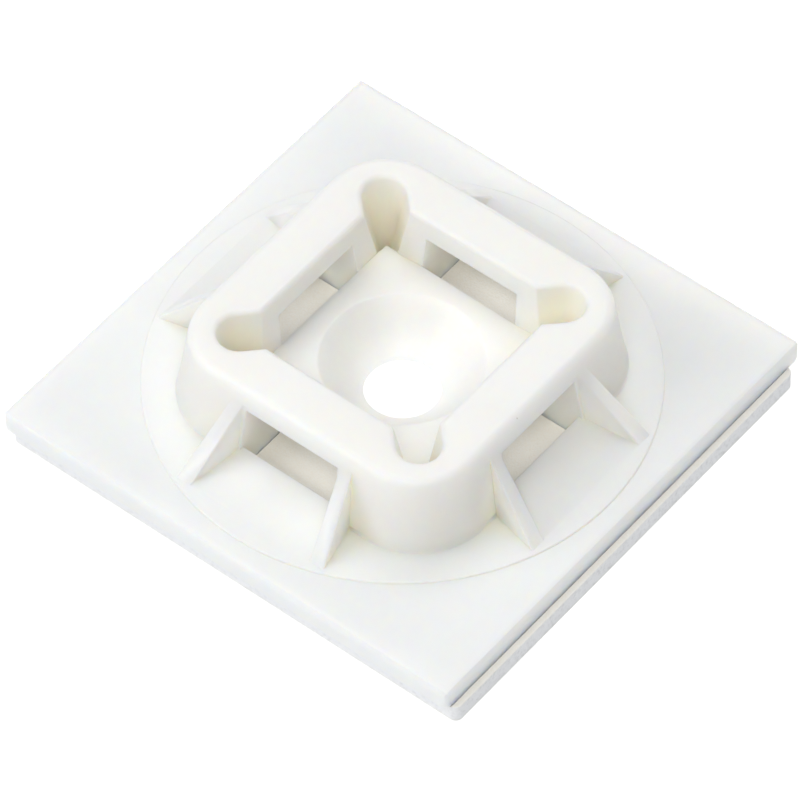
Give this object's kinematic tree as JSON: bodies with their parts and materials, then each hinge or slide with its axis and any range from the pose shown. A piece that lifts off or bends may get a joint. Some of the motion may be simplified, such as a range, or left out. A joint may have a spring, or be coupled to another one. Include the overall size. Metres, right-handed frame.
{
  "type": "cable tie mount",
  "caption": "Square adhesive-backed cable tie mount: a low tower with strap windows and ramps on all sides, and a countersunk screw hole in its well.",
  "frame": {"origin": "on the screw hole's axis, where the release liner's underside meets the surface", "axes": "+Z out of the surface, along the screw hole; X and Y square to the plate's sides"},
  "size_m": [0.0283, 0.028, 0.0068],
  "materials": {
    "nylon": "natural white nylon 6/6, satin, slightly translucent",
    "foam": "white closed-cell foam tape, cut edge",
    "liner_paper": "white siliconised release paper"
  },
  "bodies": {
    "root": {"mount_body": "nylon", "foam_pad": "foam", "release_liner": "liner_paper"}
  },
  "joints": []
}
